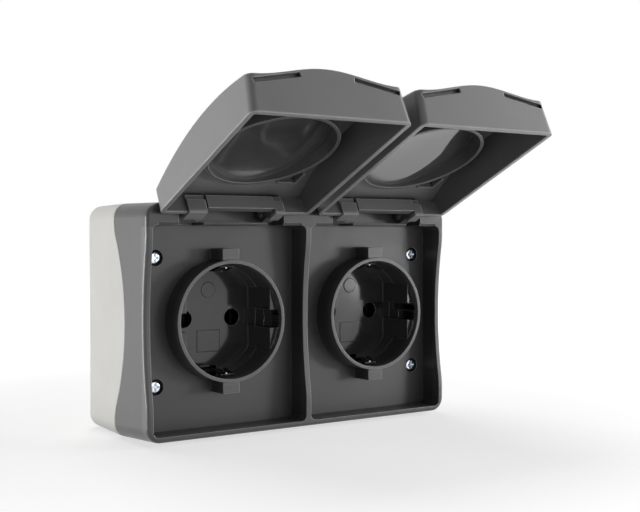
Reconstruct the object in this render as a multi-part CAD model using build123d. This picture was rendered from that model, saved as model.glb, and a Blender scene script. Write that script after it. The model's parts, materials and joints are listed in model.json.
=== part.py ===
from build123d import *
from math import cos, pi
import os

# Twin weatherproof wall socket with two hinged lids, drawn with both lids swung open.
# +X runs along the wall to the right, +Y goes into the wall and +Z is up.
# The origin lies on the wall face, midway between the two sockets at pin height.

# Housing block
housing_depth = 50.0
body_width = 127.4
body_top = 40.2
body_bottom = -40.0
front_narrowing = 1.5
front_drop = 0.2
front_rise = 1.3
body_widest = -25.0
front_overrun = 2.0
back_draft = 0.5
corner_radius = 5.0
back_edge_radius = 4.5
rim_round = 1.2

# Wavy lines in the side view: the parting line and the front rim
parting_flat = -26.0
parting_floor_room = 4.1
parting_half_length = 31.0
parting_blend = 12.0
parting_gap = 0.15
rim_dip = 2.4
rim_half_length = 27.0
rim_blend = 30.0

# Cover frame
frame_wall = 2.2
cell_depth = 10.0
floor_thickness = 2.0
top_band = 7.5
bottom_band = 1.95
cell_corner = 2.0
divider_thickness = 2.0
collar_setback = 0.4
collar_step = 0.08
collar_wall = 1.15
tab_width = 6.4
tab_reach = 24.7
tab_setback = 1.1

# Cover screws
cover_screw_inset = 8.6
cover_screw_z = 21.7
cover_screw_radius = 1.5
cover_head_radius = 2.3
cover_head_height = 1.9
head_recess_clearance = 0.5
head_recess_depth = 2.2
head_round = 0.55
cross_reach = 0.62
cross_depth = 0.55
cross_half_width = 0.35
screw_boss_radius = 4.2
screw_boss_length = 1.6

# Hinge
hinge_setback = 5.5
hinge_drop = 3.8
opening_angle = 115.2
pocket_half_width = 20.4
pocket_depth = 8.8
knuckle_radius = 2.7
knuckle_clearance = 0.3
shelf_thickness = 0.8
arm_slot_height = 4.1
swing_radius = 6.15
pin_radius = 1.2
pin_running_clearance = 0.06
pin_seat_clearance = 0.02
pin_seat_depth = 2.8
pin_end_past_arm = 0.2
wide_arm = (-19.8, -11.6)
wide_leaf = (-19.0, -12.2)
narrow_arm = (14.2, 18.0)
arm_side_gap = 0.5
leaf_depth = 2.4
leaf_height = 4.2
leaf_overhang = 0.6
leaf_heel = 3.0
notch_behind_axis = 0.3

# Lid springs
spring_wire = 0.25
spring_radius = 2.0
spring_turns = 3
spring_start = 18.45
spring_length = 1.7

# Lids
lid_side_gap = 0.875
lid_end_gap = 1.65
lid_hinge_gap = 3.4
lid_floor_gap = 1.0
lid_wall = 1.6
lid_panel = 2.0
lid_block_height = 30.0
lid_corner = 2.2
lid_inner_corner = 0.4
side_draft = 0.1
rear_lean = 0.176
front_lean = 0.09
crown_height = 15.5
crown_place = 38.0
crown_radius = 106.0
crown_rows = 10
crown_columns = 17
crown_overrun = 4.0
ridge_height = 3.5
ridge_half_width = 27.0
lid_ring_inner = 21.2
lid_ring_wall = 1.1
lid_ring_edge = 7.7
rear_rim_cut = 1.2
rear_plate_top = 5.9
rear_plate_face = 2.4
bracket_x = (13.0, 20.7)
bracket_down = (8.5, 15.5)
bracket_rib = 0.8
finger_slot_place = 18.0
finger_slot_length = 16.8
finger_slot_height = 1.6
finger_slot_drop = 0.9
finger_slot_tilt = 11.0
finger_slot_depth = 1.3

# Back box
box_wall = 3.4
box_back_wall = 2.6
tongue_wall = 1.0
tongue_clearance = 0.2
tongue_length = 2.5
seal_thickness = 1.2
box_boss_radius = 4.2
box_boss_clearance = 0.2
boss_web_half_width = 1.2
boss_web_setback = 3.0
boss_web_root = 0.5
screw_thread_clearance = 0.05
cover_screw_bite = 12.0
screw_hole_extra = 1.5
fixing_inset_x = 15.7
fixing_inset_z = 11.0
fixing_radius = 2.25
fixing_slot = 6.0
entry_radius = 9.5
entry_place_y = -14.0
entry_flange_radius = 11.0
entry_flange_thickness = 1.3
entry_bead = 1.1
entry_membrane = 0.8
entry_clearance = 0.1
entry_wall = 2.8
entry_bead_reach = 0.9
membrane_share = 0.45
funnel_top = 1.4
funnel_low = 2.4

# Socket insert, Schuko sizes
pin_spacing = 19.0
pin_hole_radius = 3.0
recess_radius = 19.6
recess_depth = 17.5
cup_wall = 1.8
cup_floor = 2.2
cup_flange_radius = 24.0
cup_flange_thickness = 2.0
cup_seat_gap = 0.1
flat_half_width = 16.4
flat_setback = 1.5
rib_half_width = 2.7
rib_inner = 14.6
rib_setback = 1.1
clip_slot_half_width = 3.2
clip_slot_inner = 16.6
clip_slot_outer = 19.4
rib_root = 1.0
strap_side_room = 0.4
mark_ring_radius = 1.9
mark_ring_line = 0.3
mark_ring_place = 10.0
mark_plate = (9.0, 7.5)
mark_plate_place = -8.0
mark_height = 0.25

# Contact block and contacts
block_half_width = 20.0
block_half_height = 29.6
block_setback = 1.1
block_depth = 18.4
block_back_wall = 1.6
block_corner = 2.0
block_clearance = 0.3
channel_half_width = 4.1
channel_low = -7.0
contact_sheet = 0.8
contact_half_width = 3.5
contact_leaf_gap = 4.4
terminal_low = 22.0
terminal_high = 29.0
terminal_setback = 1.8
terminal_screw_z = 25.4
terminal_screw_radius = 1.5
terminal_head_radius = 2.4
terminal_head_height = 1.5
terminal_screw_bite = 8.5
terminal_floor = 1.0
terminal_root = 0.9
wire_hole_radius = 1.6
earth_half_width = 2.5
earth_rise = 18.4
earth_pinch = 17.1
earth_tip = 18.8
earth_clip_reach = (5.4, 8.9, 13.4)
earth_bend = 0.9
earth_seat_gap = 0.1
insert_screw_x = 16.8
insert_screw_radius = 1.5
insert_head_radius = 2.8
insert_head_height = 2.0
insert_head_seat = 0.2
insert_screw_bite = 5.0
pillar_radius = 4.4

# Link bars between the two inserts
link_thickness = 1.0
link_width = 2.5
link_level = 30.3
line_link_place = 2.25
neutral_link_place = 7.25
link_tab_end = 27.3

# Values that follow from the sizes above
far = 200.0
front_width = body_width - front_narrowing
front_top = body_top - front_drop
front_bottom = body_bottom + front_rise
cell_top = body_top - top_band
cell_bottom = front_bottom + bottom_band
floor_front = cell_depth - housing_depth
floor_back = floor_front + floor_thickness
frame_inner_half_width = front_width / 2 - frame_wall
cell_width = frame_inner_half_width - divider_thickness / 2
gang_offset = (frame_inner_half_width + divider_thickness / 2) / 2
parting_dip = floor_back + parting_floor_room - parting_flat
collar_inner = recess_radius + collar_step
collar_outer = collar_inner + collar_wall
collar_front = collar_setback - housing_depth
tab_front = collar_front + tab_setback
cover_screw_x = body_width / 2 - cover_screw_inset
hinge_y = hinge_setback - housing_depth
hinge_z = body_top - hinge_drop
pocket_back = pocket_depth - housing_depth
lid_half_width = cell_width / 2 - lid_side_gap
lid_rim_plane = floor_front - lid_floor_gap
lid_rim_top = cell_top - lid_hinge_gap
lid_length = lid_rim_top - cell_bottom - lid_end_gap
recess_floor = collar_front + recess_depth
flat_front = collar_front + flat_setback
rib_front = flat_front + rib_setback
block_front = recess_floor + cup_floor + block_setback
block_back = block_front + block_depth
terminal_front = block_front + terminal_setback
line_link_y = terminal_front + line_link_place
neutral_link_y = terminal_front + neutral_link_place
gangs = (("left", -gang_offset), ("right", gang_offset))
hinge_axis = Axis((0, hinge_y, hinge_z), (1, 0, 0))


def span(x_low, x_high, y_low, y_high, z_low, z_high):
    """Block between two opposite corners."""
    middle = ((x_low + x_high) / 2, (y_low + y_high) / 2, (z_low + z_high) / 2)
    return Pos(*middle) * Box(x_high - x_low, y_high - y_low, z_high - z_low)


def facing(y):
    """Plane parallel to the wall at depth y, with its normal to the front."""
    return Plane(origin=(0, y, 0), x_dir=(1, 0, 0), z_dir=(0, -1, 0))


def bar(x, z, radius, y_front, y_back):
    """Round bar along Y between two depths."""
    return Pos(x, (y_front + y_back) / 2, z) * Rot(90, 0, 0) * Cylinder(radius, y_back - y_front)


def axle(y, z, radius, x_low, x_high):
    """Round bar along X between two places."""
    return Pos((x_low + x_high) / 2, y, z) * Rot(0, 90, 0) * Cylinder(radius, x_high - x_low)


def outline(y, width, z_low, z_high, inset):
    """Rounded rectangle of the housing at depth y, drawn in by an inset."""
    size = (width - 2 * inset, z_high - z_low - 2 * inset)
    radius = max(corner_radius - inset, 1.0)
    return facing(y) * Pos(0, (z_low + z_high) / 2) * RectangleRounded(*size, radius)


def housing(inset=0.0):
    """Drafted block of the whole housing, or its inside behind a wall."""
    back_width = body_width - 2 * back_draft
    back = outline(0, back_width, body_bottom + back_draft, body_top - back_draft, inset)
    middle = outline(body_widest, body_width, body_bottom, body_top, inset)
    grow = (housing_depth + front_overrun + body_widest) / (housing_depth + body_widest)
    front_y = -housing_depth - front_overrun
    width = body_width + grow * (front_width - body_width)
    bottom = body_bottom + grow * (front_bottom - body_bottom)
    top = body_top + grow * (front_top - body_top)
    front = outline(front_y, width, bottom, top, inset)
    return loft([back, middle], ruled=True) + loft([middle, front], ruled=True)


def wave(flat, dip, half_length, blend, behind):
    """Block in front of or behind a line that bends by dip at mid height, seen from the side."""
    edge = far if behind else -far
    line = [
        Line((edge, far), (flat, far)),
        Line((flat, far), (flat, half_length)),
        ThreePointArc((flat, half_length), (flat + dip, 0), (flat, -half_length)),
        Line((flat, -half_length), (flat, -far)),
        Line((flat, -far), (edge, -far)),
        Line((edge, -far), (edge, far)),
    ]
    face = make_face(line)
    bends = [v for v in face.vertices() if abs(abs(v.Y) - half_length) < 0.01]
    face = fillet(bends, blend)
    return extrude(Plane.YZ * face, far, both=True)


def parting(offset, behind):
    """Block on one side of the parting line, moved towards the wall by offset."""
    return wave(parting_flat + offset, parting_dip, parting_half_length, parting_blend, behind)


def cross_screw(x, z, head_front, head_radius, head_height, radius, tip):
    """Pan-head screw with a cross recess, driven in from the front."""
    head = bar(x, z, head_radius, head_front, head_front + head_height)
    head = fillet(head.edges().group_by(Axis.Y)[0], head_height * head_round)
    reach = head_radius * cross_reach
    slot = span(-reach, reach, -1, head_height * cross_depth, -cross_half_width, cross_half_width)
    cross = slot + Rot(0, 90, 0) * slot
    shank = bar(x, z, radius, head_front + head_height, tip)
    return head - Pos(x, head_front, z) * cross + shank


def cover_frame():
    """Dark front moulding: rim, two cells, divider, collars, tabs and hinge pockets."""
    skirt = housing() & parting(0, behind=False)
    hollow = housing(frame_wall) & span(-far, far, floor_back, far, -far, far)
    skirt -= wave(-housing_depth, rim_dip, rim_half_length, rim_blend, behind=False)
    skirt = fillet(rim_edges(skirt), rim_round)
    frame = skirt - hollow

    for _, centre in gangs:
        cell = RectangleRounded(cell_width, cell_top - cell_bottom, cell_corner)
        place = Pos(centre, (cell_top + cell_bottom) / 2)
        frame -= extrude(facing(floor_front) * place * cell, far)
        frame -= Pos(centre, 0, 0) * swing_relief()

    for _, centre in gangs:
        tabs = span(-tab_width / 2, tab_width / 2, tab_front, floor_front, -tab_reach, tab_reach)
        collar = bar(0, 0, collar_outer, collar_front, floor_back)
        frame += Pos(centre, 0, 0) * (collar + tabs)
        frame -= bar(centre, 0, collar_inner, -far, far)
        frame -= Pos(centre, 0, 0) * hinge_pocket()

    for side in (-1, 1):
        for level in (-cover_screw_z, cover_screw_z):
            x = side * cover_screw_x
            boss = bar(x, level, screw_boss_radius, floor_back, floor_back + screw_boss_length)
            frame += boss
            recess = cover_head_radius + head_recess_clearance
            frame -= bar(x, level, recess, -far, floor_front + head_recess_depth)
            frame -= bar(x, level, cover_screw_radius + 2 * screw_thread_clearance, -far, 0)
    return frame


def rim_edges(block):
    """Edges round the outside of the front, without the lines where its waves begin."""
    front = [e for e in block.edges() if e.center().Y < -housing_depth + 2 * rim_dip]
    side = front_width / 2 - corner_radius
    low = front_bottom + corner_radius
    high = front_top - corner_radius
    return [e for e in front if abs(e.center().X) > side or not low < e.center().Z < high]


def swing_relief():
    """Lower front edge of the top band, rounded about the hinge so that the lid's wall passes it."""
    half = cell_width / 2 - cell_corner
    edge = span(-half, half, -far, hinge_y, cell_top - swing_radius, hinge_z)
    return edge - axle(hinge_y, hinge_z, swing_radius, -cell_width, cell_width)


def hinge_pocket():
    """What is cut from the top band of one cell for the lid's arms, pins and spring."""
    half = pocket_half_width
    knuckle_room = knuckle_radius + knuckle_clearance
    pocket_top = hinge_z + knuckle_room
    shelf_top = cell_top + shelf_thickness
    pocket = span(-half, half, -far, pocket_back, shelf_top, pocket_top)
    slots = ((-half, wide_arm[1] + arm_side_gap), (narrow_arm[0] - arm_side_gap, half))
    for low, high in slots:
        pocket += span(low, high, -far, pocket_back, shelf_top - arm_slot_height, shelf_top)
    arms = (wide_arm, narrow_arm)
    for low, high in arms:
        notch_back = hinge_y + notch_behind_axis
        pocket += span(low - arm_side_gap, high + arm_side_gap, -far, notch_back, hinge_z, far)
    bore = pin_radius + pin_seat_clearance
    return pocket + axle(hinge_y, hinge_z, bore, -half - pin_seat_depth, half + pin_seat_depth)


def back_box():
    """Light back box with its tongue, bosses, pillars, cable entries and fixing slots."""
    shell = housing()
    shell = fillet(shell.edges().group_by(Axis.Y)[-1], back_edge_radius)
    shell &= parting(parting_gap, behind=True)
    tongue = housing(frame_wall + tongue_clearance) & parting(-tongue_length, behind=True)
    cavity_wall = frame_wall + tongue_clearance + tongue_wall
    cavity = housing(cavity_wall) & span(-far, far, -far, -box_back_wall, -far, far)
    box = shell + (tongue & span(-far, far, -far, -box_wall, -far, far)) - cavity

    boss_front = floor_back + screw_boss_length + box_boss_clearance
    bite = floor_front + head_recess_depth + cover_screw_bite + screw_hole_extra
    for side in (-1, 1):
        for level in (-cover_screw_z, cover_screw_z):
            x = side * cover_screw_x
            box += bar(x, level, box_boss_radius, boss_front, -box_back_wall)
            low, high = sorted((x, side * (body_width / 2 - box_wall + boss_web_root)))
            web = (level - boss_web_half_width, level + boss_web_half_width)
            box += span(low, high, parting_flat + boss_web_setback, -box_back_wall, *web)
            box -= bar(x, level, cover_screw_radius + screw_thread_clearance, -far, bite)

    for _, centre in gangs:
        for side in (-1, 1):
            x = centre + side * insert_screw_x
            box += bar(x, 0, pillar_radius, block_back, -box_back_wall)
            depth = block_back + insert_screw_bite + screw_hole_extra
            box -= bar(x, 0, insert_screw_radius + screw_thread_clearance, -far, depth)

    for side in (-1, 1):
        for level in (body_bottom + fixing_inset_z, -body_bottom - fixing_inset_z):
            slot = SlotCenterToCenter(fixing_slot, 2 * fixing_radius)
            place = Pos(side * (body_width / 2 - fixing_inset_x), level)
            box -= extrude(facing(box_back_wall) * place * slot, 3 * box_back_wall)

    for up in (-1, 1):
        outside, inside = entry_levels(up)
        room = Pos(0, entry_place_y, up * (outside + inside) / 2)
        box -= room * Cylinder(entry_radius, 3 * box_wall)
        seat_low = outside - entry_flange_thickness
        box -= Pos(0, entry_place_y, up * (seat_low + far / 2)) * Cylinder(entry_flange_radius, far)
        bead_room = Pos(0, entry_place_y, up * (inside - entry_bead))
        box -= bead_room * Cylinder(entry_flange_radius, 2 * entry_bead)
    return box


def entry_levels(up):
    """Height of a cable entry's flange and of the flat for its bead, above the middle."""
    outside = (body_top if up > 0 else -body_bottom) - back_draft
    return outside, outside - entry_wall


def frame_seal():
    """Rubber ring lying on the tongue of the back box, pressed by the frame."""
    inner = frame_wall + tongue_clearance + tongue_wall
    ring = housing(frame_wall + tongue_clearance) - housing(inner)
    ring &= parting(-tongue_length - seal_thickness, behind=True)
    return ring & parting(-tongue_length, behind=False)


def grommet(up):
    """Rubber cable entry: flange in its seat, neck, inner bead and a domed membrane."""
    outside, wall_inside = entry_levels(up)
    neck = entry_radius - entry_clearance
    flange_low = outside - entry_flange_thickness + entry_clearance
    inside = wall_inside - entry_clearance
    profile = Polyline(
        (0, flange_low),
        (neck * membrane_share, flange_low),
        (neck - funnel_low, inside - entry_bead),
        (neck - funnel_top, inside - 2 * entry_bead),
        (neck, inside - 2 * entry_bead),
        (neck + entry_bead_reach, inside - entry_bead),
        (neck + entry_bead_reach, inside),
        (neck, inside),
        (neck, flange_low),
        (entry_flange_radius - entry_clearance, flange_low),
        (entry_flange_radius - entry_clearance, outside),
        (neck - funnel_top, outside),
        (neck * membrane_share, flange_low + entry_membrane),
        (0, flange_low + entry_membrane),
        close=True,
    )
    shape = revolve(Plane.XZ * make_face(profile), Axis.Z)
    turn = Rot(0, 0, 0) if up > 0 else Rot(180, 0, 0)
    return Pos(0, entry_place_y, 0) * turn * shape


def crown_surface(lowered):
    """Outer face of a closed lid's panel, an arc with a soft ridge towards the free end."""
    rows = []
    half = lid_half_width + crown_overrun
    for i in range(crown_rows):
        down = -crown_overrun + i * (lid_length + 2 * crown_overrun) / (crown_rows - 1)
        row = []
        for j in range(crown_columns):
            x = -half + 2 * half * j / (crown_columns - 1)
            arc = crown_height - (down - crown_place) ** 2 / (2 * crown_radius)
            swell = ridge_height * (max(down, 0) / lid_length) ** 2
            across = min(abs(x) / ridge_half_width, 1)
            row.append((x, lowered - arc - swell * (1 + cos(pi * across)) / 2, -down))
        rows.append(row)
    return Face.make_surface_from_array_of_points(rows)


def lid_block(inset, lowered):
    """Lid outside, or its inside at a wall thickness, standing with its rim on y = 0."""
    sections = []
    for up in (0, lid_block_height):
        half = lid_half_width - side_draft * up - inset
        top = rear_lean * up - inset
        bottom = -lid_length - front_lean * up + inset
        base = Plane(origin=(0, -up, 0), x_dir=(1, 0, 0), z_dir=(0, -1, 0))
        corner = max(lid_corner - inset, lid_inner_corner)
        rectangle = RectangleRounded(2 * half, top - bottom, corner)
        sections.append(base * Pos(0, (top + bottom) / 2) * rectangle)
    walls = loft(sections, ruled=True)
    return walls & extrude(crown_surface(lowered), amount=2 * lid_block_height, dir=(0, 1, 0))


def lid(centre):
    """Lid moulding with its ring, arms, finger slots and end wall, swung open."""
    body = lid_block(0, 0) - lid_block(lid_wall, lid_panel)
    axis_z = hinge_z - lid_rim_top
    axis_y = hinge_y - lid_rim_plane
    ring_outer = lid_ring_inner + lid_ring_wall
    ring = bar(0, -lid_rim_top, ring_outer, -far, -lid_ring_edge)
    ring &= lid_block(lid_wall / 2, lid_panel / 2)
    body += ring - bar(0, -lid_rim_top, lid_ring_inner, -far, 0)
    body += extrude(crown_surface(0), amount=lid_panel, dir=(0, 1, 0)) & lid_block(0, 0)

    between = (wide_arm[1], narrow_arm[0])
    body -= span(*between, -rear_rim_cut, far, -rear_plate_face, far)
    body += span(*between, -rear_plate_top, -rear_rim_cut, -rear_plate_face, -lid_wall / 2)
    low, high = bracket_down
    bracket = span(*bracket_x, -far, -lid_ring_edge, -high, -low)
    bracket -= span(-far, bracket_x[1] - bracket_rib, -far, far, -far, -low - bracket_rib)
    body += (bracket & lid_block(lid_wall / 2, lid_panel / 2)) - bar(0, -lid_rim_top, ring_outer, -far, 0)
    for arm, leaf in ((wide_arm, wide_leaf), (narrow_arm, narrow_arm)):
        knuckle = axle(axis_y, axis_z, knuckle_radius, *arm)
        root = span(*leaf, axis_y - knuckle_radius, axis_y + knuckle_radius, -lid_wall, axis_z)
        plate = span(*leaf, -leaf_height, leaf_overhang, -leaf_depth, leaf_heel)
        body += knuckle + root + plate
    body -= axle(axis_y, axis_z, pin_radius + pin_running_clearance, -far, far)

    swell = ridge_height * (1 + cos(pi * finger_slot_place / ridge_half_width)) / 2
    edge = crown_height + swell - (lid_length - crown_place) ** 2 / (2 * crown_radius)
    level = edge - finger_slot_drop - finger_slot_height / 2
    base = -lid_length - front_lean * level
    for side in (-1, 1):
        slot = Box(finger_slot_length, finger_slot_height, 2 * finger_slot_depth)
        turned = Rot(0, 0, side * finger_slot_tilt) * slot
        body -= Pos(side * finger_slot_place, -level, base) * turned

    closed = Pos(centre, lid_rim_plane, lid_rim_top) * body
    return closed.rotate(hinge_axis, -opening_angle)


def hinge_pins(centre):
    """The two steel pins that carry one lid, seated in the ends of its pocket."""
    end = pocket_half_width + pin_seat_depth
    wide_end = centre + wide_arm[1] + pin_end_past_arm
    narrow_end = centre + narrow_arm[0] - pin_end_past_arm
    wide = axle(hinge_y, hinge_z, pin_radius, centre - end, wide_end)
    narrow = axle(hinge_y, hinge_z, pin_radius, narrow_end, centre + end)
    return [wide, narrow]


def lid_spring(centre):
    """Small torsion spring coiled round the right pin."""
    coil_path = Helix(spring_length / spring_turns, spring_length, spring_radius)
    start = Plane(origin=coil_path @ 0, z_dir=coil_path % 0)
    coil = sweep(start * Circle(spring_wire), coil_path)
    return Pos(centre + spring_start, hinge_y, hinge_z) * Rot(0, 90, 0) * coil


def recess_cup(centre):
    """Moulded well of one socket: floor with pin holes, flats, guide ribs and skirt."""
    cup_front = floor_back + cup_seat_gap
    floor_rear = recess_floor + cup_floor
    outer = recess_radius + cup_wall
    cup = bar(0, 0, cup_flange_radius, cup_front, cup_front + cup_flange_thickness)
    cup += bar(0, 0, outer, cup_front, block_front)
    cup -= bar(0, 0, recess_radius, -far, recess_floor)
    cup -= bar(0, 0, recess_radius, floor_rear, far)

    well = bar(0, 0, recess_radius, flat_front, recess_floor)
    for side in (-1, 1):
        low, high = sorted((side * flat_half_width, side * far))
        cup += well & span(low, high, -far, far, -far, far)
        low, high = sorted((side * rib_inner, side * (flat_half_width + rib_root)))
        cup += span(low, high, rib_front, recess_floor, -rib_half_width, rib_half_width)
        cup -= bar(side * pin_spacing / 2, 0, pin_hole_radius, -far, far)
        low, high = sorted((side * clip_slot_inner, side * clip_slot_outer))
        half = clip_slot_half_width
        cup -= span(-half, half, recess_floor - cup_floor, floor_rear + cup_floor, low, high)
    strap_room = earth_half_width + strap_side_room
    cup -= span(-strap_room, strap_room, floor_rear, far, -far, 0)

    ring = bar(0, mark_ring_place, mark_ring_radius, recess_floor - mark_height, recess_floor)
    ring -= bar(0, mark_ring_place, mark_ring_radius - mark_ring_line, -far, far)
    plate = facing(recess_floor) * Pos(0, mark_plate_place) * Rectangle(*mark_plate)
    cup += ring + extrude(plate, mark_height)
    return Pos(centre, 0, 0) * cup


def contact_block(centre):
    """Insulating block behind the recess, with a channel for each contact."""
    wide = block_half_width
    high = block_half_height
    block = span(-wide, wide, block_front, block_back, -high, high)
    block = fillet(block.edges().filter_by(Axis.Y), block_corner)
    channel_back = block_back - block_back_wall
    half = channel_half_width
    for side in (-1, 1):
        x = side * pin_spacing / 2
        block -= span(x - half, x + half, -far, channel_back, channel_low, far)
        block -= bar(side * insert_screw_x, 0, insert_screw_radius + block_clearance, -far, far)
        head_seat = block_front + insert_head_height + insert_head_seat
        head_room = insert_head_radius + block_clearance
        block -= bar(side * insert_screw_x, 0, head_room, -far, head_seat)
    block -= span(-half, half, -far, channel_back, -far, 2 * block_clearance - terminal_low)
    strap_room = earth_half_width + block_clearance
    strap_depth = block_front + contact_sheet + block_clearance
    block -= span(-strap_room, strap_room, -far, strap_depth, -far, earth_rise + contact_sheet)
    return Pos(centre, 0, 0) * block


def terminal(x, z_low, z_high, front, wire_y):
    """Brass screw terminal with its wire hole from the end of the block."""
    back = block_back - block_back_wall
    clamp = span(x - contact_half_width, x + contact_half_width, front, back, z_low, z_high)
    screw_z = terminal_screw_z if z_low > 0 else -terminal_screw_z
    clamp -= bar(x, screw_z, terminal_screw_radius + screw_thread_clearance, -far, back - terminal_floor)
    hole = Pos(x, wire_y, screw_z) * Cylinder(
        wire_hole_radius, far, align=(Align.CENTER, Align.CENTER, Align.MIN if z_low > 0 else Align.MAX)
    )
    return clamp - hole


def pole_contact(centre, side, wire_y):
    """Sheet-brass contact of one pole: clip round the pin, strip and terminal."""
    x = side * pin_spacing / 2
    back = block_back - block_back_wall
    strip_front = back - contact_sheet
    half = contact_half_width
    contact = span(x - half, x + half, strip_front, back, -half - contact_sheet, terminal_low)
    leaf_inner = contact_leaf_gap / 2
    for leaf in (-1, 1):
        low, high = sorted((x + leaf * leaf_inner, x + leaf * (leaf_inner + contact_sheet)))
        contact += span(low, high, terminal_front, strip_front, -half, half)
    contact += terminal(x, terminal_low, terminal_high, terminal_front, wire_y)
    return Pos(centre, 0, 0) * contact


def earth_strap(centre):
    """Earth strap with a sprung clip at the top and bottom of the recess and its terminal."""
    sheet_middle = block_front + earth_seat_gap + contact_sheet / 2
    levels = (earth_rise, earth_pinch, earth_tip)
    depths = [recess_floor - reach for reach in earth_clip_reach]
    points = [(sheet_middle, 0), (sheet_middle, earth_rise), *zip(depths, levels)]
    path = FilletPolyline(*points, radius=earth_bend)
    strip = trace(path, contact_sheet)
    strip += mirror(strip, Plane.XZ)
    strap = extrude(Plane.YZ * strip, earth_half_width, both=True)
    front = sheet_middle + contact_sheet / 2
    tail = -terminal_low - terminal_root
    strap += span(-earth_half_width, earth_half_width, front - contact_sheet, front, tail, 0)
    strap += terminal(0, -terminal_high, -terminal_low, front, neutral_link_y)
    return Pos(centre, 0, 0) * strap


def terminal_screws():
    """Clamping screws of the six terminals."""
    screws = []
    for _, centre in gangs:
        for x in (-pin_spacing / 2, pin_spacing / 2):
            front = terminal_front - terminal_head_height
            tip = terminal_front + terminal_screw_bite
            screws.append(cross_screw(
                centre + x, terminal_screw_z, front, terminal_head_radius,
                terminal_head_height, terminal_screw_radius, tip,
            ))
        earth_front = block_front + earth_seat_gap + contact_sheet
        screws.append(cross_screw(
            centre, -terminal_screw_z, earth_front - terminal_head_height, terminal_head_radius,
            terminal_head_height, terminal_screw_radius, earth_front + terminal_screw_bite,
        ))
    return screws


def insert_screws():
    """Screws that hold the contact blocks to the pillars of the back box."""
    screws = []
    for _, centre in gangs:
        for side in (-1, 1):
            screws.append(cross_screw(
                centre + side * insert_screw_x, 0, block_front + insert_head_seat, insert_head_radius,
                insert_head_height, insert_screw_radius, block_back + insert_screw_bite,
            ))
    return screws


def cover_screws():
    """The four visible screws that hold the frame to the back box."""
    seat = floor_front + head_recess_depth
    screws = []
    for side in (-1, 1):
        for level in (-cover_screw_z, cover_screw_z):
            screws.append(cross_screw(
                side * cover_screw_x, level, seat - cover_head_height, cover_head_radius,
                cover_head_height, cover_screw_radius, seat + cover_screw_bite,
            ))
    return screws


def link_bar(x, y, up):
    """Flat bar that joins the same terminals of both inserts, with a tab into each."""
    half = link_thickness / 2
    low = y - link_width / 2
    high = y + link_width / 2
    reach = gang_offset + half
    link = span(x - reach, x + reach, low, high, link_level, link_level + link_thickness)
    for side in (-1, 1):
        tab = x + side * gang_offset
        link += span(tab - half, tab + half, low, high, link_tab_end, link_level)
    return link if up else mirror(link, Plane.XY)


os.makedirs("parts", exist_ok=True)
parts = {
    "back_box": back_box(),
    "cover_frame": cover_frame(),
    "frame_seal": frame_seal(),
    "cover_screws": cover_screws(),
    "insert_screws": insert_screws(),
    "terminal_screws": terminal_screws(),
    "line_link": link_bar(-pin_spacing / 2, line_link_y, up=True),
    "neutral_link": link_bar(pin_spacing / 2, neutral_link_y, up=True),
    "earth_link": link_bar(0, neutral_link_y, up=False),
    "grommet_top": grommet(1),
    "grommet_bottom": grommet(-1),
}
for name, centre in gangs:
    parts[f"lid_{name}"] = lid(centre)
    parts[f"hinge_pins_{name}"] = hinge_pins(centre)
    parts[f"lid_spring_{name}"] = lid_spring(centre)
    parts[f"recess_cup_{name}"] = recess_cup(centre)
    parts[f"contact_block_{name}"] = contact_block(centre)
    parts[f"line_contact_{name}"] = pole_contact(centre, -1, line_link_y)
    parts[f"neutral_contact_{name}"] = pole_contact(centre, 1, neutral_link_y)
    parts[f"earth_strap_{name}"] = earth_strap(centre)

for name, shape in parts.items():
    solid = Compound(children=shape) if isinstance(shape, list) else shape
    export_step(solid, f"parts/{name}.step")
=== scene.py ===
import json
import math

import bpy
import mathutils
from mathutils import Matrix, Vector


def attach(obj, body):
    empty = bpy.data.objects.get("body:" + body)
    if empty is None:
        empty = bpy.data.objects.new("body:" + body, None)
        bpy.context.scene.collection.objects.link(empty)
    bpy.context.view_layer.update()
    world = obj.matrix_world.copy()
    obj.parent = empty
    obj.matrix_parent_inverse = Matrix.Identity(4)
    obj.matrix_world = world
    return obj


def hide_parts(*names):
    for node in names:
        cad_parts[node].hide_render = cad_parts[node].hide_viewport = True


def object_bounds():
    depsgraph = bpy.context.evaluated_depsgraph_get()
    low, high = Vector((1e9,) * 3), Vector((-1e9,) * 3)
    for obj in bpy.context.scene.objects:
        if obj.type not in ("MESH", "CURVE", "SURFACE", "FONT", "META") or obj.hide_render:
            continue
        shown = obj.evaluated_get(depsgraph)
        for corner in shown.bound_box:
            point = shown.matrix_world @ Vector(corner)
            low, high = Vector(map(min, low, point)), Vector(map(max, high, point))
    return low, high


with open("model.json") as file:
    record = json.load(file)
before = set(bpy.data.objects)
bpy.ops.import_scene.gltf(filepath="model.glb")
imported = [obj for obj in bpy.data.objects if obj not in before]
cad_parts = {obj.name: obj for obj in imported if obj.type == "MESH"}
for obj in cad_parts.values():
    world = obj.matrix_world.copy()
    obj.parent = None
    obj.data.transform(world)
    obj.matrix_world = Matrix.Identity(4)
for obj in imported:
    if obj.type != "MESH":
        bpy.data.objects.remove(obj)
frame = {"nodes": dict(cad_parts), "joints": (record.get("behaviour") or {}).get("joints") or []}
cad_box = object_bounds()
nodes = frame["nodes"]
bpy.ops.object.select_all(action="DESELECT")


# Back box: the light grey thermoplastic half that is screwed to the wall.
# It is injection moulded with a fine spark-eroded grain, and its edges come out slightly rounded.
# Every moulded piece shows the same rounding and grain, and the same painted edge highlights and painted
# shade in corners and hollows, so these are shader groups.
def put(tree, socket, value):
    if isinstance(value, bpy.types.NodeSocket):
        tree.links.new(value, socket)
    else:
        socket.default_value = value


def calc(tree, operation, *values):
    node = tree.nodes.new("ShaderNodeMath")
    node.operation = operation
    for socket, value in zip(node.inputs, values):
        put(tree, socket, value)
    return node.outputs[0]


def ramp(tree, value, start, end, low=0.0, high=1.0):
    node = tree.nodes.new("ShaderNodeMapRange")
    for socket, given in zip(node.inputs, (value, start, end, low, high)):
        put(tree, socket, given)
    return node.outputs[0]


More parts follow.
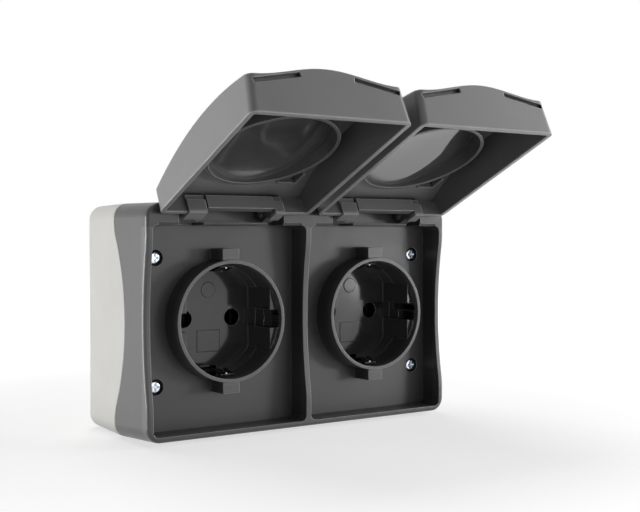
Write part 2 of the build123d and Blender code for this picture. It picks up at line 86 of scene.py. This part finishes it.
def below(tree, value, limit, fade):
    return ramp(tree, value, limit + fade, limit)


def weigh(tree, share, factor):
    return ramp(tree, share, 0.0, 1.0, 1.0, factor)


def swing(tree, value, start, end, middle, spread):
    low = calc(tree, "SUBTRACT", middle, spread)
    high = calc(tree, "ADD", middle, spread)
    return ramp(tree, value, start, end, low, high)


def scaled(tree, colour, factor):
    node = tree.nodes.new("ShaderNodeVectorMath")
    node.operation = "SCALE"
    put(tree, node.inputs[0], colour)
    put(tree, node.inputs["Scale"], factor)
    return node.outputs[0]


def blend(tree, kind, share, first, second):
    node = tree.nodes.new("ShaderNodeMix")
    node.data_type = "RGBA"
    node.blend_type = kind
    put(tree, node.inputs[0], share)
    put(tree, node.inputs[6], first)
    put(tree, node.inputs[7], second)
    return node.outputs[2]


def cloudy(tree, place, size, detail=3.0, stretch=None):
    if stretch:
        drawn_out = tree.nodes.new("ShaderNodeMapping")
        put(tree, drawn_out.inputs["Vector"], place)
        drawn_out.inputs["Scale"].default_value = stretch
        place = drawn_out.outputs[0]
    node = tree.nodes.new("ShaderNodeTexNoise")
    put(tree, node.inputs["Vector"], place)
    put(tree, node.inputs["Scale"], calc(tree, "DIVIDE", 1.0, size))
    node.inputs["Detail"].default_value = detail
    return node.outputs[0]


def bumped(tree, height, depth, normal):
    node = tree.nodes.new("ShaderNodeBump")
    put(tree, node.inputs["Distance"], depth)
    put(tree, node.inputs["Height"], height)
    put(tree, node.inputs["Normal"], normal)
    return node.outputs[0]


def openness(tree, reach, only_local=False):
    node = tree.nodes.new("ShaderNodeAmbientOcclusion")
    node.samples = 4
    node.only_local = only_local
    node.inputs["Distance"].default_value = reach
    return node.outputs["AO"]


def own_place(tree):
    return tree.nodes.new("ShaderNodeTexCoord").outputs["Object"]


def new_group(name, inputs, outputs):
    tree = bpy.data.node_groups.new(name, "ShaderNodeTree")
    for socket, value in inputs.items():
        kind = "NodeSocketVector" if value is None else "NodeSocketFloat"
        kind = "NodeSocketColor" if isinstance(value, tuple) else kind
        made = tree.interface.new_socket(socket, in_out="INPUT", socket_type=kind)
        if value is not None:
            made.default_value = value
    for socket, kind in outputs.items():
        tree.interface.new_socket(socket, in_out="OUTPUT", socket_type=kind)
    return tree, tree.nodes.new("NodeGroupInput").outputs, tree.nodes.new("NodeGroupOutput").inputs


def rounded_edges():
    corner_reach, shelter_reach = 0.0015, 0.016
    outputs = {
        "Normal": "NodeSocketVector", "Edge": "NodeSocketFloat", "Corner": "NodeSocketFloat",
        "Shelter": "NodeSocketFloat",
    }
    tree, given, result = new_group("rounded edges", {"Edge Radius": 0.0004}, outputs)
    rounded = tree.nodes.new("ShaderNodeBevel")
    rounded.samples = 4
    put(tree, rounded.inputs["Radius"], given["Edge Radius"])
    turn = tree.nodes.new("ShaderNodeVectorMath")
    turn.operation = "DOT_PRODUCT"
    put(tree, turn.inputs[0], rounded.outputs[0])
    put(tree, turn.inputs[1], tree.nodes.new("ShaderNodeNewGeometry").outputs["Normal"])
    # Corner marks concave corners and Shelter marks hollows under and between parts. The moulded grain darkens
    # both as painted shade, and Edge carries a painted edge highlight.
    near = openness(tree, corner_reach, only_local=True)
    open_side = ramp(tree, near, 0.72, 0.92)
    edge = calc(tree, "MULTIPLY", ramp(tree, turn.outputs["Value"], 0.995, 0.90), open_side)
    put(tree, result["Normal"], rounded.outputs[0])
    put(tree, result["Edge"], edge)
    put(tree, result["Corner"], ramp(tree, near, 0.75, 0.45))
    put(tree, result["Shelter"], ramp(tree, openness(tree, shelter_reach), 0.92, 0.25))
    return tree


SURFACE = {"Base Color": "NodeSocketColor", "Roughness": "NodeSocketFloat", "Normal": "NodeSocketVector"}


def moulded_grain():
    full_depth, cloud_size, sheen_size, corner_painted_shade = 0.00002, 0.022, 0.006, 0.3
    inputs = {
        "Colour": (0.5, 0.5, 0.5, 1.0), "Grain Size": 0.00035, "Grain Depth": 0.25, "Roughness": 0.45,
        "Roughness Spread": 0.08, "Tone Spread": 0.06, "Edge Light": 0.2, "Shade": 0.4, "Edge": 0.0,
        "Corner": 0.0, "Shelter": 0.0, "Normal": None,
    }
    tree, given, result = new_group("moulded grain", inputs, SURFACE)
    place = own_place(tree)
    depth = calc(tree, "MULTIPLY", given["Grain Depth"], full_depth)
    put(tree, result["Normal"], bumped(tree, cloudy(tree, place, given["Grain Size"]), depth, given["Normal"]))

    tone = swing(tree, cloudy(tree, place, cloud_size, 4.0), 0.25, 0.75, 1.0, given["Tone Spread"])
    # Painted shade: the colour is darkened in concave corners and, scaled by Shade, in sheltered hollows.
    tone = calc(tree, "MULTIPLY", tone, weigh(tree, given["Corner"], corner_painted_shade))
    unshaded = calc(tree, "SUBTRACT", 1.0, given["Shade"])
    tone = calc(tree, "MULTIPLY", tone, weigh(tree, given["Shelter"], unshaded))
    # Painted highlight: a pale grey is screened onto the edges, scaled by Edge Light.
    light = calc(tree, "MULTIPLY", given["Edge"], given["Edge Light"])
    lit = blend(tree, "SCREEN", light, scaled(tree, given["Colour"], tone), (0.55, 0.55, 0.555, 1.0))
    put(tree, result["Base Color"], lit)

    cloud = cloudy(tree, place, sheen_size, 6.0)
    put(tree, result["Roughness"], swing(tree, cloud, 0.0, 1.0, given["Roughness"], given["Roughness Spread"]))
    return tree


def surfaced(name, group, colour, radius, **values):
    material = bpy.data.materials.new(name)
    material.use_nodes = True
    tree = material.node_tree
    edges = tree.nodes.new("ShaderNodeGroup")
    edges.node_tree = edge_group
    edges.inputs["Edge Radius"].default_value = radius
    surface = tree.nodes.new("ShaderNodeGroup")
    surface.node_tree = group
    surface.name = "surface"
    surface.inputs["Colour"].default_value = (*colour, 1.0)
    for socket, value in values.items():
        surface.inputs[socket.replace("_", " ").title()].default_value = value
    for socket in ("Edge", "Corner", "Shelter", "Normal"):
        tree.links.new(edges.outputs[socket], surface.inputs[socket])
    for socket in ("Base Color", "Roughness", "Normal"):
        tree.links.new(surface.outputs[socket], tree.nodes["Principled BSDF"].inputs[socket])
    return material


def moulded(name, colour, radius=0.0004, **values):
    return surfaced(name, moulding, colour, radius, **values)


def finish(material, *names):
    for name in names:
        mesh = nodes[name].data
        mesh.materials.clear()
        mesh.materials.append(material)


edge_group = rounded_edges()
moulding = moulded_grain()
light_grey = moulded("light grey moulding", (0.58, 0.575, 0.55),
                     roughness=0.42, grain_depth=0.2, edge_light=0.1)
finish(light_grey, "back_box")


# Cable entries: soft grey rubber membranes pressed into the top and bottom of the back box.
# Rubber comes matt from the mould, with a faint bloom on it. A cable is pushed through the thin middle.
grey_rubber = moulded("grommet rubber", (0.16, 0.16, 0.155), roughness=0.68, grain_size=0.0006,
                      grain_depth=0.6, tone_spread=0.12, edge_light=0.1)
finish(grey_rubber, "grommet_top", "grommet_bottom")


# Seal: a soft black rubber cord that lies in the joint between the box and the cover frame.
# The frame's screws press it flat, and its skin is matt and a little dusty.
seal_rubber = moulded("seal rubber", (0.025, 0.025, 0.026), roughness=0.7, grain_size=0.0005,
                      grain_depth=0.5, tone_spread=0.15, edge_light=0.06)
finish(seal_rubber, "frame_seal")


# Contact blocks: black insulating mouldings behind the recesses, filled with glass fibre.
# The fibre shows as a slightly coarser grain. Two screws hold each block to pillars of the back box.
block_black = moulded("black insulator", (0.02, 0.02, 0.021), roughness=0.5, grain_size=0.0005,
                      grain_depth=0.5, roughness_spread=0.14, edge_light=0.06)
finish(block_black, "contact_block_left", "contact_block_right")


# Live contacts and link bars: strips of rolled brass, stamped and bent.
# Rolling leaves fine lines along the strip, and the brass tarnishes in faint brown clouds.
# The contacts behind the pin holes are painted near black as painted shade in the holes, and the blocks hold
# them in their slots.
def worked_metal():
    full_depth, cloud_size, along = 0.00001, 0.003, (1.0, 1.0, 0.06)
    inputs = {
        "Colour": (0.7, 0.7, 0.7, 1.0), "Tarnish Colour": (0.3, 0.25, 0.2, 1.0), "Tarnish": 0.3,
        "Line Size": 0.0004, "Line Depth": 0.3, "Roughness": 0.25, "Roughness Spread": 0.08,
        "Edge Light": 0.4, "Edge": 0.0, "Corner": 0.0, "Shelter": 0.0, "Normal": None,
    }
    tree, given, result = new_group("worked metal", inputs, SURFACE)
    place = own_place(tree)
    lines = cloudy(tree, place, given["Line Size"], 2.0, along)
    depth = calc(tree, "MULTIPLY", given["Line Depth"], full_depth)
    put(tree, result["Normal"], bumped(tree, lines, depth, given["Normal"]))

    cloud = ramp(tree, cloudy(tree, place, cloud_size, 5.0), 0.40, 0.65)
    share = calc(tree, "MULTIPLY", given["Tarnish"], calc(tree, "MAXIMUM", cloud, given["Corner"]))
    share = calc(tree, "MAXIMUM", share, calc(tree, "MULTIPLY", given["Shelter"], 0.5))
    toned = blend(tree, "MIX", share, given["Colour"], given["Tarnish Colour"])
    # Painted highlight: a pale grey is screened onto the edges, scaled by Edge Light.
    light = calc(tree, "MULTIPLY", given["Edge"], given["Edge Light"])
    put(tree, result["Base Color"], blend(tree, "SCREEN", light, toned, (0.5, 0.5, 0.5, 1.0)))

    worn = calc(tree, "ADD", calc(tree, "MULTIPLY", cloud, 0.6), calc(tree, "MULTIPLY", lines, 0.4))
    put(tree, result["Roughness"], swing(tree, worn, 0.1, 0.9, given["Roughness"], given["Roughness Spread"]))
    return tree


def metal(name, colour, tarnish_colour, radius=0.00015, **values):
    material = surfaced(name, metal_group, colour, radius, **values)
    shaders = material.node_tree.nodes
    shaders["surface"].inputs["Tarnish Colour"].default_value = (*tarnish_colour, 1.0)
    shaders["Principled BSDF"].inputs["Metallic"].default_value = 1.0
    return material


metal_group = worked_metal()
brass = metal("rolled brass", (0.66, 0.50, 0.25), (0.26, 0.15, 0.07),
              roughness=0.30, tarnish=0.45, line_depth=0.6)
finish(brass, "line_link", "neutral_link", "earth_link")
# Painted shade: the contacts seen through the pin holes are given a near black brass colour.
brass_painted_shade = metal("brass painted as shade", (0.035, 0.027, 0.016), (0.010, 0.008, 0.006),
                   roughness=0.5, tarnish=0.6, edge_light=0.05)
for side in ("left", "right"):
    finish(brass_painted_shade, f"line_contact_{side}", f"neutral_contact_{side}")


# Earth straps: sprung brass strips, nickel plated, whose tips stand in the recess above and below.
# Each tip has a stiffening rib pressed along its ramp. The strap's nickel is painted dark as painted shade,
# and the rib is painted bright as a painted highlight, as are the edges.
# The strap lies across the contact block, and its terminal takes the earth wire.
# Painted shade: the strap's nickel is made near black. Painted highlight: the rib's copy of it is made bright,
# so the rib shines.
nickel = metal("nickel plate painted as shade", (0.10, 0.098, 0.094), (0.05, 0.047, 0.043),
               roughness=0.36, tarnish=0.5, edge_light=0.5)
rib_painted_highlight = metal("nickel painted as highlight", (0.66, 0.655, 0.64), (0.3, 0.25, 0.2),
                  roughness=0.22, tarnish=0.2, edge_light=0.3)
recess_middle = 0.030875
ramp_low, ramp_high = mathutils.Vector((-0.0413, 0.0168)), mathutils.Vector((-0.0452, 0.0183))
rib_radius = 0.00042
smooth_angle = math.radians(30)


def start_edit(piece):
    bpy.ops.object.select_all(action="DESELECT")
    piece.select_set(True)
    bpy.context.view_layer.objects.active = piece
    bpy.ops.object.mode_set(mode="EDIT")
    bpy.ops.mesh.select_all(action="SELECT")


def trim(*planes):
    for point, outward in planes:
        bpy.ops.mesh.select_all(action="SELECT")
        bpy.ops.mesh.bisect(plane_co=point, plane_no=outward, use_fill=True, clear_outer=True)


def cut(piece, tool, operation="DIFFERENCE"):
    bpy.ops.object.select_all(action="DESELECT")
    bpy.context.view_layer.objects.active = piece
    joint = piece.modifiers.new("cut", "BOOLEAN")
    joint.operation = operation
    joint.object = tool
    bpy.ops.object.modifier_apply(modifier=joint.name)
    bpy.data.objects.remove(tool)


def round_bar(name, x, z, radius, front, back):
    bpy.ops.mesh.primitive_cylinder_add(
        vertices=128, radius=radius, depth=back - front, location=(x, (front + back) / 2, z),
        rotation=(math.pi / 2, 0, 0),
    )
    bar = bpy.context.object
    bar.name = name
    bpy.ops.object.transform_apply(location=True, rotation=True, scale=True)
    return bar


def carried_over(node, name):
    piece = bpy.data.objects.new(name, nodes[node].data.copy())
    bpy.context.scene.collection.objects.link(piece)
    start_edit(piece)
    bpy.ops.mesh.customdata_custom_splitnormals_clear()
    bpy.ops.mesh.remove_doubles(threshold=0.000002)
    bpy.ops.object.mode_set(mode="OBJECT")
    return piece


for side, middle in (("left", -recess_middle), ("right", recess_middle)):
    strap = carried_over(f"earth_strap_{side}", f"earth_strap_{side}_ribbed")
    strap.data.materials.clear()
    strap.data.materials.append(nickel)
    run, rib_middle = ramp_high - ramp_low, (ramp_low + ramp_high) / 2
    ribs = []
    for hand in (-1, 1):
        bpy.ops.mesh.primitive_cylinder_add(
            vertices=20, radius=rib_radius, depth=run.length,
            location=(middle, rib_middle.x, hand * rib_middle.y),
            rotation=mathutils.Vector((0, run.x, hand * run.y)).to_track_quat("Z", "Y").to_euler(),
        )
        rib = bpy.context.object
        rib.data.materials.append(rib_painted_highlight)
        soft_ends = rib.modifiers.new("soft ends", "BEVEL")
        soft_ends.width = rib_radius * 0.8
        soft_ends.segments = 4
        bpy.ops.object.modifier_apply(modifier=soft_ends.name)
        ribs.append(rib)
    bpy.ops.object.select_all(action="DESELECT")
    for part in (strap, *ribs):
        part.select_set(True)
    bpy.context.view_layer.objects.active = strap
    bpy.ops.object.join()
    bpy.ops.object.shade_smooth_by_angle(angle=smooth_angle)
    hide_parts(f"earth_strap_{side}")
    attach(strap, "housing")


# Terminal and holding screws: turned steel with a bright zinc plating.
# The plating is a little cloudy, and bluish where it is thin.
# The terminal screws clamp the wires, and the holding screws go through the blocks into the box.
zinc = metal("bright zinc", (0.74, 0.78, 0.84), (0.50, 0.55, 0.64),
             roughness=0.2, tarnish=0.3, line_depth=0.2)
finish(zinc, "insert_screws", "terminal_screws")


# Cover frame: the dark grey front moulding with its two cells, collars, tabs and hinge pockets.
# The same thermoplastic as the box, tinted dark grey, with a satin face. Four screws hold it to the box.
# Its front rims are painted paler as painted light, the fronts of its collars carry a painted highlight,
# and the hinge band under the lids is painted a little darker as painted shade.
frame_colour = (0.058, 0.058, 0.059)
rim_front, rim_fade, rim_painted_light = -0.0472, 0.0017, 1.75
band_start, band_fade, band_painted_shade = 0.0318, 0.0006, 0.7
collar_front, collar_radius, collar_fade, collar_painted_highlight = -0.0479, 0.0218, 0.0004, 1.35


def split(tree, place):
    node = tree.nodes.new("ShaderNodeSeparateXYZ")
    put(tree, node.inputs[0], place)
    return node.outputs


def gang_side(tree, x):
    return calc(tree, "SUBTRACT", calc(tree, "ABSOLUTE", x), recess_middle)


def distance(tree, first, second):
    squares = [calc(tree, "POWER", side, 2.0) for side in (first, second)]
    return calc(tree, "SQRT", calc(tree, "ADD", *squares))


dark_grey = moulded("dark grey moulding", frame_colour, roughness=0.40, edge_light=0.8, shade=0.3)
tree = dark_grey.node_tree
place = split(tree, own_place(tree))
# Painted light on the front faces, a painted highlight on the collar fronts, and painted shade on the front of
# the hinge band.
front_light_and_band_shade = ramp(tree, place["Z"], band_start, band_start + band_fade, rim_painted_light, band_painted_shade)
painted_lighting = weigh(tree, below(tree, place["Y"], rim_front, rim_fade), front_light_and_band_shade)
away = distance(tree, gang_side(tree, place["X"]), place["Z"])
collar = calc(tree, "MULTIPLY", below(tree, away, collar_radius, collar_fade),
              below(tree, place["Y"], collar_front, collar_fade))
painted_lighting = calc(tree, "MULTIPLY", painted_lighting, weigh(tree, collar, collar_painted_highlight))
put(tree, tree.nodes["surface"].inputs["Colour"], scaled(tree, frame_colour, painted_lighting))
finish(dark_grey, "cover_frame")


# Cover screws: four cross-recess screws of steel, sunk in the corners of the cells.
# They hold the frame to the box's bosses and have the same zinc plating as the inner screws.
finish(zinc, "cover_screws")


# Recess mouldings: the wells that take the plugs, of a darker plastic with a polished floor.
# Each is the moulded well with its flats set back and a guide slot cut through both of them.
# A round mark stands on the floor above the pin holes. The well sits inside the frame's collar.
recess_grey = moulded("recess moulding", (0.030, 0.030, 0.031), roughness=0.11, roughness_spread=0.03,
                      grain_depth=0.04, edge_light=0.45)
recess_grey.node_tree.nodes["Principled BSDF"].inputs["IOR"].default_value = 1.58
cut_front, flat_front, well_floor = -0.0492, -0.0472, -0.0321
well_radius = 0.01956
slot_inner, slot_half_height, slot_floor_gap = 0.0142, 0.0032, 0.00002
mark_up, mark_radius, mark_height, mark_root = 0.0100, 0.0027, 0.0003, 0.0005

for side, middle in (("left", -recess_middle), ("right", recess_middle)):
    well = carried_over(f"recess_cup_{side}", f"recess_{side}")
    slot_ends = ((0, 0, slot_half_height), (0, 0, 1)), ((0, 0, -slot_half_height), (0, 0, -1))
    for hand in (-1, 1):
        inner_face = ((middle + hand * slot_inner, 0, 0), (-hand, 0, 0))
        for back, planes in (
            (well_floor - slot_floor_gap, (inner_face, *slot_ends)),
            (flat_front, (inner_face,)),
        ):
            tool = round_bar("cutter", middle, 0, well_radius, cut_front, back)
            start_edit(tool)
            trim(*planes)
            bpy.ops.object.mode_set(mode="OBJECT")
            cut(well, tool)
    mark = round_bar("mark", middle, mark_up, mark_radius, well_floor - mark_height, well_floor + mark_root)
    cut(well, mark, "UNION")
    well.select_set(True)
    bpy.ops.object.shade_smooth_by_angle(angle=smooth_angle)
    well.data.materials.clear()
    well.data.materials.append(recess_grey)
    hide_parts(f"recess_cup_{side}")
    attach(well, "housing")


# Hinge pins and lid springs: bright drawn steel wire.
# The pins are pressed into the frame and the springs sit on them beside the wide arms.
# Drawing leaves lines along the wire.
steel = metal("spring steel", (0.62, 0.62, 0.63), (0.35, 0.34, 0.33),
              roughness=0.26, tarnish=0.2, line_depth=0.5)
finish(steel, "hinge_pins_left", "hinge_pins_right", "lid_spring_left", "lid_spring_right")


# Lids: thin dark grey shells on two knuckle arms each, with a ring inside that meets the collar.
# The faces are satin; the rim band is painted paler as painted light, and the ring's walls are painted darker
# as painted shade. Inside the ring the mould was polished, so the panel shines there. The arms turn on the
# hinge pins.
lid_colour = (0.207, 0.207, 0.209)
rim_level, rim_fade, rim_painted_light = 0.0412, 0.0004, 1.9
panel_level, panel_fade = 0.0560, 0.0002
polished_radius, polished_fade, polished_roughness = 0.0184, 0.0025, 0.05
ring_radius, ring_fade, ring_painted_shade = 0.0219, 0.0002, 0.6
ring_top, ring_top_fade = 0.0552, 0.0004

hinge = mathutils.Vector(frame["joints"][0]["pos_m"])
lid_turn = math.radians(frame["joints"][0]["range_deg"][1])
opening = mathutils.Matrix.Rotation(-lid_turn, 4, "X")
ring_place = hinge + opening @ (mathutils.Vector((hinge.x, 0.0, 0.0)) - hinge)

lid_grey = moulded("lid grey moulding", lid_colour, radius=0.0005,
                   roughness=0.36, edge_light=1.0, shade=0.35)
tree = lid_grey.node_tree
surface, shader = tree.nodes["surface"], tree.nodes["Principled BSDF"]
place = split(tree, own_place(tree))
one_lid = tree.nodes.new("ShaderNodeCombineXYZ")
put(tree, one_lid.inputs["X"], gang_side(tree, place["X"]))
put(tree, one_lid.inputs["Y"], place["Y"])
put(tree, one_lid.inputs["Z"], place["Z"])
closed = tree.nodes.new("ShaderNodeMapping")
closed.vector_type = "TEXTURE"
closed.inputs["Location"].default_value = (0.0, ring_place.y, ring_place.z)
closed.inputs["Rotation"].default_value = (math.pi / 2 - lid_turn, 0.0, 0.0)
put(tree, closed.inputs["Vector"], one_lid.outputs[0])
place = split(tree, closed.outputs[0])
away = distance(tree, place["X"], place["Y"])

# Painted light: the rim band is made paler. Painted shade: the ring's walls are made darker.
painted_lighting = weigh(tree, below(tree, place["Z"], rim_level, rim_fade), rim_painted_light)
ring_side = calc(tree, "MULTIPLY", below(tree, away, ring_radius, ring_fade),
                 below(tree, place["Z"], ring_top, ring_top_fade))
tone = calc(tree, "MULTIPLY", painted_lighting, weigh(tree, ring_side, ring_painted_shade))
put(tree, surface.inputs["Colour"], scaled(tree, lid_colour, tone))

polished = calc(tree, "MULTIPLY", below(tree, away, polished_radius, polished_fade),
                below(tree, place["Z"], panel_level, panel_fade))
mixed = tree.nodes.new("ShaderNodeMix")
put(tree, mixed.inputs[0], polished)
put(tree, mixed.inputs[2], surface.outputs["Roughness"])
put(tree, mixed.inputs[3], polished_roughness)
put(tree, shader.inputs["Roughness"], mixed.outputs[0])
put(tree, shader.inputs["Coat Weight"], polished)
shader.inputs["Coat Roughness"].default_value = 0.04
finish(lid_grey, "lid_left", "lid_right")


# Studio: a pale floor that reads as white, soft lamps at both sides, and one high behind the object.
# The left one is a low strip, so that it leaves no glare on the top faces.
# None of it belongs to the object.
lamp_target = mathutils.Vector((0.0, -0.05, 0.0))
white = (1, 1, 1, 1)
glow_inner, glow_outer, glow_near, glow_mirrored = 0.09, 0.36, 0.62, 0.9


def softbox(name, place, size, power):
    bpy.ops.object.light_add(type="AREA", location=place)
    lamp = bpy.context.object
    lamp.name = name
    lamp.data.shape = "RECTANGLE"
    lamp.data.size, lamp.data.size_y = size
    lamp.data.energy = power
    lamp.rotation_euler = (lamp_target - lamp.location).to_track_quat("-Z", "Y").to_euler()


softbox("right key", (0.76, -0.79, -0.05), (0.25, 0.25), 4.2)
softbox("right fill", (1.0, -0.30, 0.35), (0.9, 0.9), 6.2)
softbox("left key", (-0.95, 0.45, 0.0), (0.5, 0.07), 8.7)
softbox("low fill", (0.10, -1.02, 0.0), (0.6, 0.4), 2.0)
softbox("top fill", (0.0, 0.40, 1.0), (0.7, 0.5), 4.0)

floor_level = cad_box[0][2]
bpy.ops.mesh.primitive_plane_add(size=8.0, location=(0, 0, floor_level))
floor = bpy.context.object
floor.name = "floor"
floor_paint = bpy.data.materials.new("pale floor")
floor_paint.use_nodes = True
tree = floor_paint.node_tree
paint = tree.nodes["Principled BSDF"]
paint.inputs["Base Color"].default_value = (0.62, 0.62, 0.62, 1.0)
paint.inputs["Roughness"].default_value = 0.9
paint.inputs["Specular IOR Level"].default_value = 0.1
paint.inputs["Emission Color"].default_value = white
away = tree.nodes.new("ShaderNodeVectorMath")
away.operation = "LENGTH"
put(tree, away.inputs[0], own_place(tree))
glow = tree.nodes.new("ShaderNodeMapRange")
glow.interpolation_type = "SMOOTHSTEP"
for socket, value in zip(glow.inputs, (away.outputs["Value"], glow_inner, glow_outer, glow_near, 1.0)):
    put(tree, socket, value)
path = tree.nodes.new("ShaderNodeLightPath")
seen = calc(tree, "MULTIPLY", path.outputs["Is Camera Ray"], glow.outputs[0])
mirrored = calc(tree, "MULTIPLY", path.outputs["Is Glossy Ray"], glow_mirrored)
put(tree, paint.inputs["Emission Strength"], calc(tree, "MAXIMUM", seen, mirrored))
floor.data.materials.append(floor_paint)

world = bpy.data.worlds.new("studio")
bpy.context.scene.world = world
world.use_nodes = True
tree = world.node_tree
tree.nodes.clear()
sky = tree.nodes.new("ShaderNodeBackground")
sky.inputs["Color"].default_value = white
path = tree.nodes.new("ShaderNodeLightPath")
either = calc(tree, "MAXIMUM", path.outputs["Is Camera Ray"], path.outputs["Is Glossy Ray"])
put(tree, sky.inputs["Strength"], either)
put(tree, tree.nodes.new("ShaderNodeOutputWorld").inputs["Surface"], sky.outputs[0])


# Camera: it stands where the photograph was taken from, low and to the left of the socket.
# Its place and angle were found by fitting the housing's edges.
tilt, roll, heading = -1.08, 0.056, -34.52
focal_pixels, photo_pixels, sensor = 1080.5, 640, 36.0
bpy.ops.object.camera_add(
    location=(-0.2143, -0.3686, 0.0291),
    rotation=(math.radians(90 + tilt), math.radians(roll), math.radians(heading)),
)
camera = bpy.context.object
camera.data.sensor_width = sensor
camera.data.lens = focal_pixels / photo_pixels * sensor
camera.data.clip_start = 0.01
bpy.context.scene.camera = camera
bpy.context.scene.view_settings.view_transform = "Standard"
